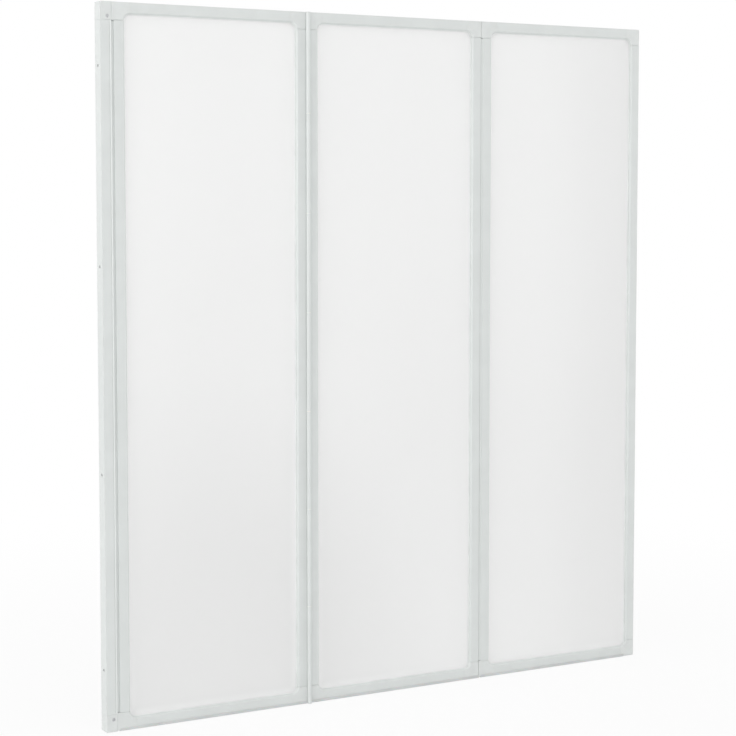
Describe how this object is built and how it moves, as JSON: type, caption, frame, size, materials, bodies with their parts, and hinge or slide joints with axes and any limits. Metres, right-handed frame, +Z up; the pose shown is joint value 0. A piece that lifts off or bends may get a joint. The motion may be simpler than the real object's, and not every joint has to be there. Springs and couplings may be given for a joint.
{
  "type": "folding bath screen",
  "caption": "Folding bath screen with framed milky plastic panels hinged in a zigzag from an adjustable wall profile.",
  "frame": {"origin": "wall plane, on the middle plane of the flat screen, at the height of the bath rim", "axes": "+X from the wall along the flat screen, +Z up, -Y towards the room"},
  "size_m": [1.27, 0.0357, 1.4],
  "materials": {
    "white_aluminium": "satin white powder coat",
    "corner_plastic": "satin white moulding",
    "milky_sheet": "milky translucent sheet, finely pebbled back",
    "gasket": "soft white",
    "seal": "grey translucent",
    "steel": "stainless",
    "washer_plastic": "natural nylon"
  },
  "bodies": {
    "wall_fixing": {"wall_channel": "white_aluminium", "adjusting_profile": "white_aluminium", "wall_cap_top": "corner_plastic", "wall_cap_bottom": "corner_plastic", "clamp_screws": "steel", "hinge_a_fixed_leaf": "white_aluminium", "hinge_a_pin": "steel", "hinge_a_washers": "washer_plastic", "hinge_a_pin_caps": "corner_plastic"},
    "panel_1": {"panel_1_left_stile": "white_aluminium", "panel_1_right_stile": "white_aluminium", "panel_1_top_rail": "white_aluminium", "panel_1_bottom_rail": "white_aluminium", "panel_1_corner_top_left": "corner_plastic", "panel_1_corner_top_right": "corner_plastic", "panel_1_corner_bottom_left": "corner_plastic", "panel_1_corner_bottom_right": "corner_plastic", "panel_1_infill": "milky_sheet", "panel_1_gasket": "gasket", "panel_1_seal": "seal", "panel_1_screws": "steel", "hinge_a_moving_leaf": "white_aluminium", "hinge_b_fixed_leaf": "white_aluminium", "hinge_b_pin": "steel", "hinge_b_washers": "washer_plastic", "hinge_b_pin_caps": "corner_plastic"},
    "panel_2": {"panel_2_left_stile": "white_aluminium", "panel_2_right_stile": "white_aluminium", "panel_2_top_rail": "white_aluminium", "panel_2_bottom_rail": "white_aluminium", "panel_2_corner_top_left": "corner_plastic", "panel_2_corner_top_right": "corner_plastic", "panel_2_corner_bottom_left": "corner_plastic", "panel_2_corner_bottom_right": "corner_plastic", "panel_2_infill": "milky_sheet", "panel_2_gasket": "gasket", "panel_2_seal": "seal", "panel_2_screws": "steel", "hinge_b_moving_leaf": "white_aluminium", "hinge_c_fixed_leaf": "white_aluminium", "hinge_c_pin": "steel", "hinge_c_washers": "washer_plastic", "hinge_c_pin_caps": "corner_plastic"},
    "panel_3": {"panel_3_left_stile": "white_aluminium", "panel_3_right_stile": "white_aluminium", "panel_3_top_rail": "white_aluminium", "panel_3_bottom_rail": "white_aluminium", "panel_3_corner_top_left": "corner_plastic", "panel_3_corner_top_right": "corner_plastic", "panel_3_corner_bottom_left": "corner_plastic", "panel_3_corner_bottom_right": "corner_plastic", "panel_3_infill": "milky_sheet", "panel_3_gasket": "gasket", "panel_3_seal": "seal", "panel_3_screws": "steel", "hinge_c_moving_leaf": "white_aluminium", "panel_3_edge_strip": "seal"}
  },
  "joints": [
    {"name": "hinge_a", "type": "hinge", "parent": "wall_fixing", "child": "panel_1", "pos_m": [0.0245, 0.0122, 0.7], "axis": [0, 0, 1], "range_deg": [0, 90]},
    {"name": "hinge_b", "type": "hinge", "parent": "panel_1", "child": "panel_2", "pos_m": [0.4405, -0.0122, 0.7], "axis": [0, 0, 1], "range_deg": [-180, 0]},
    {"name": "hinge_c", "type": "hinge", "parent": "panel_2", "child": "panel_3", "pos_m": [0.8565, 0.0122, 0.7], "axis": [0, 0, 1], "range_deg": [0, 180]}
  ]
}
